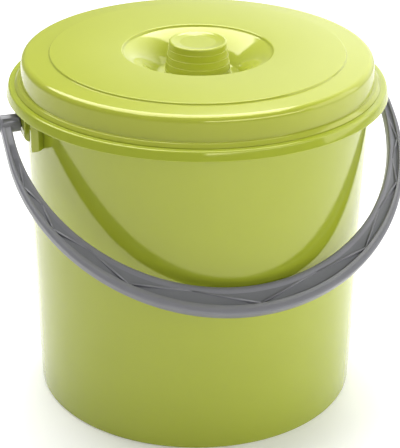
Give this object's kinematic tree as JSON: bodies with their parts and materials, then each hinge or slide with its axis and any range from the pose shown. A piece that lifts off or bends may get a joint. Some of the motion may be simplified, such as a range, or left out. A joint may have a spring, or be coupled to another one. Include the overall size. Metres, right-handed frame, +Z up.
{
  "type": "lidded fermenting bucket",
  "caption": "Round lidded plastic bucket with a drafted wall, a skirted rim, a dished lid with a ringed knob, and a ribbed carrying bail that swings in ears under the rim.",
  "frame": {"origin": "centre of the foot ring's underside, on the floor", "axes": "+Z up through the knob; +X along the bail's pivot axis; the bail hangs at -Y at rest"},
  "size_m": [0.3446, 0.3311, 0.3139],
  "materials": {
    "bucket_plastic": "moulded gloss, lime green",
    "lid_plastic": "moulded gloss, lime green",
    "bail_plastic": "moulded satin gloss, mid grey"
  },
  "bodies": {
    "bucket_body": {"bucket": "bucket_plastic"},
    "lid_body": {"lid": "lid_plastic"},
    "bail_body": {"bail": "bail_plastic"}
  },
  "joints": [
    {"name": "bail_swing", "type": "hinge", "parent": "bucket_body", "child": "bail_body", "pos_m": [0, 0, 0.259], "axis": [-1, 0, 0], "range_deg": [0, 250.5]},
    {"name": "lid_lift", "type": "slide", "parent": "bucket_body", "child": "lid_body", "axis": [0, 0, 1], "range_m": [0, 0.13]}
  ]
}
